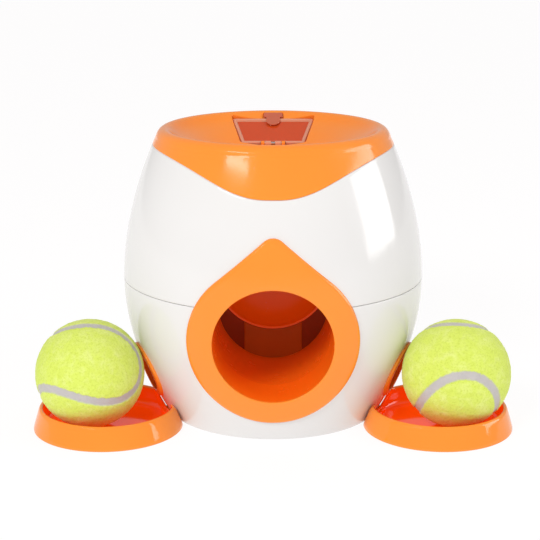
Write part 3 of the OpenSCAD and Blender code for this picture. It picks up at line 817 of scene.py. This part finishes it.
# painted light: the centre panel's faces take the lighter brown, the rest keeps the darker painted shade
for f in pad.data.polygons:
    if f.center[1]/MM < 18.4:
        f.material_index = 1

# ---------------------------------------------------------------- trays

TC = math.hypot(99.2, 40.2)


TRAY_PSI = None


def to_casing(psi, rc):
    """Distance from the tray's centre to the casing's circle of radius rc along each direction, or far."""
    disc = (TC*np.cos(psi))**2 - TC**2 + rc**2
    d = np.where((disc > 0) & (np.cos(psi) < 0), -TC*np.cos(psi) - np.sqrt(np.clip(disc, 0, None)), 999.0)
    return d


def soft_min(a, b, k):
    h = np.clip(k - np.abs(a - b), 0, None)/k
    return np.minimum(a, b) - h*h*k/4


def tray_mesh():
    psi = np.linspace(0, TAU, 6000, endpoint=False)
    ref = soft_min(np.full_like(psi, 42.5), to_casing(psi, float(R(8)) + 0.4), 2.5)
    p = np.stack([ref*np.cos(psi), ref*np.sin(psi)], -1)
    s = np.r_[0, np.cumsum(np.linalg.norm(np.diff(p, axis=0), axis=1))]
    n = 460
    psi = np.interp(np.linspace(0, s[-1], n, endpoint=False), s, psi)
    rear = np.sin(psi) > 0
    w = smooth((42.5 - to_casing(psi, float(R(8)) + 0.4) - np.where(rear, 1.8, -0.2))/np.where(rear, 3.5, 3.4))
    rim = spline([(44.0, 0.0), (44.65, 0.25), (44.75, 0.9), (44.2, 3.2), (43.2, 6.6), (42.1, 10.2), (41.45, 12.2), (40.9, 13.25), (39.95, 13.85), (39.1, 13.45),
                  (38.72, 12.3), (38.62, 9.5), (38.6, 6.4), (38.35, 4.7), (37.4, 3.15), (35.6, 2.35), (33.0, 2.2)], 62)
    low = spline([(0.9, 0.0), (0.5, 0.2), (0.4, 0.7), (0.4, 1.6), (0.4, 2.6), (0.4, 3.5), (0.45, 4.1), (0.65, 4.6), (1.2, 4.9), (1.75, 4.65),
                  (1.98, 4.2), (2.03, 3.8), (2.08, 3.4), (2.25, 3.0), (2.8, 2.5), (3.8, 2.25), (6.0, 2.2)], 62)
    rows = []
    for (rt, zt), (dc, zc) in zip(rim, low):
        z = zt*(1 - w) + zc*w
        r = soft_min(np.full_like(psi, rt), to_casing(psi, R(z) + dc), 2.5)
        rows.append(np.column_stack([TC + r*np.cos(psi), r*np.sin(psi), z]))
    c = rows[-1].mean(0)
    last = rows[-1]
    for t in (0.3, 0.7):
        rows.append(last*(1 - t) + c*t)
    rows.insert(0, rows[0]*0.75 + rows[0].mean(0)*0.25)
    ob = skin("tray_right_skin", rows, "fan", 40)
    tab = rounded([(63.8, -10), (71.5, -10), (71.5, 10), (63.8, 10)], 1.2, 6)
    rows = []
    for d, z in ((-1.2, 2.4), (-0.35, 2.4), (-0.1, 2.5), (0, 2.75), (0, 4.05), (-0.1, 4.3), (-0.35, 4.4), (-1.2, 4.4)):
        g = grown(tab, d)
        rows.append(np.column_stack([g, np.full(len(g), z)]))
    tongue = skin("tongue", rows, "fan", 40)
    boolean(ob, tongue, "UNION")
    ob.data.transform(Matrix.Rotation(TRAY_U, 4, "Z"))
    return tidy(ob, 40)


tray = tray_mesh()
tray_l = mirrored(tray, "tray_left_skin")
for ob in (tray, tray_l):
    me = ob.data
    co = np.zeros(3*len(me.vertices))
    me.vertices.foreach_get("co", co)
    co = co.reshape(-1, 3)/MM
    rad = np.hypot(np.abs(co[:, 0]) - 99.2, co[:, 1] + 40.2)
    # painted light: mask of the tray's inner faces, inside the rim from the floor up to the rim's top, where the deeper
    # red and the glow are painted
    painted_light_mask = smooth((39.6 - rad)/0.8)*smooth((13.4 - co[:, 2])/1.2)*smooth((co[:, 2] - 1.6)/0.4)
    at = me.attributes.new("inside", "FLOAT", "POINT")
    at.data.foreach_set("value", painted_light_mask.astype(np.float32))
put(tray, "right_tray", "orange_plastic", ORANGE_TRAY, "tray_right")
put(tray_l, "left_tray", "orange_plastic", ORANGE_TRAY, "tray_left")

# ---------------------------------------------------------------- tennis balls

BALL_R = 32.5


def ball(name, centre, b, M, seed):
    bm = bmesh.new()
    bmesh.ops.create_icosphere(bm, subdivisions=7, radius=1.0)
    me = bpy.data.meshes.new(name)
    bm.to_mesh(me)
    bm.free()
    n = len(me.vertices)
    co = np.zeros(3*n)
    me.vertices.foreach_get("co", co)
    co = co.reshape(-1, 3)
    co /= np.linalg.norm(co, axis=1)[:, None]
    # distance to the seam, one closed curve
    t = np.linspace(0, TAU, 900, endpoint=False)
    a = 1 - b
    cv = np.stack([a*np.cos(t) + b*np.cos(3*t), a*np.sin(t) - b*np.sin(3*t), 2*math.sqrt(a*b)*np.sin(2*t)], -1)
    cv /= np.linalg.norm(cv, axis=1)[:, None]
    cv = cv @ np.array(M).T
    dist = np.empty(n)
    for i in range(0, n, 20000):
        dist[i:i + 20000] = np.arccos(np.clip((co[i:i + 20000] @ cv.T).max(1), -1, 1))*BALL_R
    f1 = np.array([noise.noise(Vector(p)*14 + Vector((seed, 0, 0))) for p in co])
    f2 = np.array([noise.noise(Vector(p)*46 + Vector((0, seed, 0))) for p in co])
    edge = dist + 0.35*f1 + 0.45*f2
    seam = 1 - smooth((edge - 2.1)/0.9)
    felt = 1 - seam
    lift = felt*(0.05 + 0.16*f1 + 0.20*f2) - 0.55*seam + 0.02*f2
    lift = np.minimum(lift, 0.35)
    pos = (np.array(centre) + co*(BALL_R + lift - 0.3)[:, None])*MM
    me.vertices.foreach_set("co", pos.ravel())
    at = me.attributes.new("seam", "FLOAT", "POINT")
    at.data.foreach_set("value", seam.astype(np.float32))
    me.update()
    ob = bpy.data.objects.new(name, me)
    bpy.context.scene.collection.objects.link(ob)
    for p in me.polygons:
        p.use_smooth = True
    return ob


bl = ball("ball_left_felt", (-109.0, -44.7, 34.7), 0.2414,
          [[-0.30415, 0.09914, -0.94745], [0.15622, -0.97592, -0.15227], [-0.93973, -0.19432, 0.28134]], 3.1)
put(bl, "left_ball", "felt", FELT, "ball_left")
br = ball("ball_right_felt", (109.0, -44.7, 34.7), 0.2287,
          [[-0.71186, 0.68486, 0.15561], [-0.59623, -0.47221, -0.64925], [-0.37116, -0.55496, 0.74449]], 7.7)
put(br, "right_ball", "felt", FELT, "ball_right")

# ---------------------------------------------------------------- CAD nodes that stay

STAY = {"base_plate": WHITE_IN, "anti_slip_ring": RUBBER, "base_screws": STEEL, "seam_screws": STEEL, "cap_screws": STEEL,
        "hopper_bin": ORANGE_IN_PAINTED_LIGHT, "treat_floor": ORANGE_IN_PAINTED_LIGHT, "front_bearing_plate": NYLON, "rear_bearing_plate": NYLON,
        "bearing_bushes": BRASS, "drum_housing": NYLON, "treat_slide": ORANGE_IN_PAINTED_LIGHT, "cradle_shaft": STEEL, "cradle_gear": NYLON,
        "cradle_clip": DARK_STEEL, "treat_drum": ORANGE, "drum_shaft": STEEL, "drum_gear": NYLON, "drum_clip": DARK_STEEL,
        "door_hinge_pin": STEEL, "ball_left_core": CORE, "ball_right_core": CORE}
for node, mat in STAY.items():
    ob = NODES[node]
    if not ob.material_slots:
        ob.data.materials.append(mat)
    for s in ob.material_slots:
        s.material = mat

# ---------------------------------------------------------------- floor, light and camera


def plane(name, size, z):
    s = size/2
    ob = new_object(name, [(-s, -s, z), (s, -s, z), (s, s, z), (-s, s, z)], [[0, 1, 2, 3]])
    return ob


floor = plane("floor", 12000, -0.02)
fm, nt, b = material("pale_floor", Roughness=0.9, Specular_IOR_Level=0.1)
b.inputs["Base Color"].default_value = (0.12, 0.12, 0.12, 1)
b.inputs["Emission Color"].default_value = (1, 0.99, 0.99, 1)
b.inputs["Emission Strength"].default_value = 0.90
floor.data.materials.append(fm)

scene = bpy.context.scene
world = bpy.data.worlds.new("studio")
world.use_nodes = True
world.node_tree.nodes["Background"].inputs[0].default_value = (0.985, 0.975, 0.975, 1)
world.node_tree.nodes["Background"].inputs[1].default_value = 0.57
scene.world = world


def softbox(name, where, aim, size, power, colour=(1, 1, 1), spread=180, cam=False):
    li = bpy.data.lights.new(name, "AREA")
    li.shape = "RECTANGLE"
    li.size, li.size_y = size
    li.energy = power
    li.color = colour
    li.spread = math.radians(spread)
    ob = bpy.data.objects.new(name, li)
    ob.location = where
    ob.rotation_euler = (Vector(aim) - Vector(where)).to_track_quat("-Z", "Y").to_euler()
    ob.visible_camera = cam
    scene.collection.objects.link(ob)
    return ob


softbox("key", (-0.65, -1.25, 1.0), (0, 0, 0.10), (0.5, 0.4), 8.5, spread=150).visible_glossy = False
softbox("fill", (1.35, -0.35, 0.75), (0, 0, 0.10), (0.7, 0.7), 3.5, spread=150).visible_glossy = False
softbox("shine_left", (-0.72, -1.0, 0.95), (0, 0, 0.16), (0.50, 0.09), 2.0).visible_diffuse = False
softbox("shine_right", (1.37, 0.02, 0.42), (0.05, -0.05, 0.13), (0.84, 0.62), 8.0).visible_diffuse = False

cam = bpy.data.cameras.new("camera")
cam.sensor_width = 36.0
cam.lens = 1526.0*36.0/540.0
cam.shift_x = -(273.1 - 270.0)/540.0
cam.clip_start, cam.clip_end = 0.01, 50
co = bpy.data.objects.new("camera", cam)
co.location = (0, -0.909, 0.321)
co.rotation_euler = (math.radians(90 - 14.46), 0, 0)
scene.collection.objects.link(co)
bpy.context.scene.camera = co
scene.view_settings.view_transform = "Standard"
scene.view_settings.look = "None"
